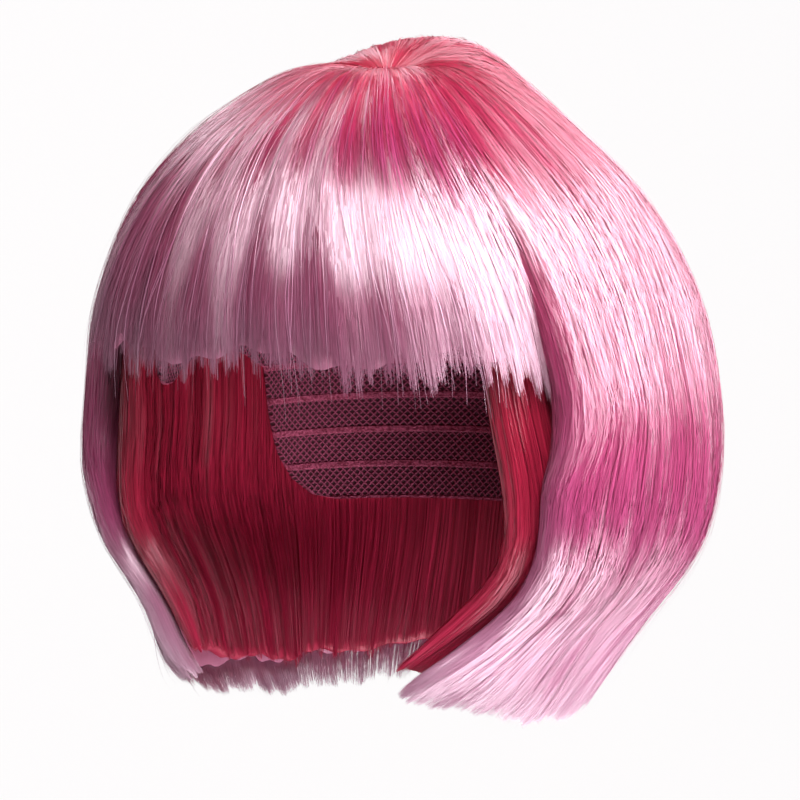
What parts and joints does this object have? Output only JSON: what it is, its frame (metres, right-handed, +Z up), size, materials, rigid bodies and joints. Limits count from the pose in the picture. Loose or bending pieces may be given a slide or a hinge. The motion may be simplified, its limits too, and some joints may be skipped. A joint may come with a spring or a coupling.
{
  "type": "short bob wig",
  "caption": "Chin-length bob wig with a straight fringe, of glossy pink fibre on a stretch cap, held in the form it takes on a head.",
  "frame": {"origin": "on the head's upright middle line, level with the inside top of the cap, where the top of the wearer's head sits", "axes": "+Z up, -Y towards the face, +X towards the wearer's left"},
  "size_m": [0.2109, 0.2277, 0.2362],
  "materials": {
    "hair_pink": "glossy straight synthetic fibre, pale pink with deeper pink roots",
    "hair_deep": "glossy straight synthetic fibre, deep crimson pink",
    "cap_net": "matt knitted stretch net"
  },
  "bodies": {
    "root": {"cap": "cap_net", "crown_whorl": "hair_deep", "fringe": "hair_pink", "hair_left": "hair_pink", "hair_right": "hair_pink", "hair_back": "hair_pink", "under_left": "hair_deep", "under_right": "hair_deep", "under_back": "hair_deep"}
  },
  "joints": []
}
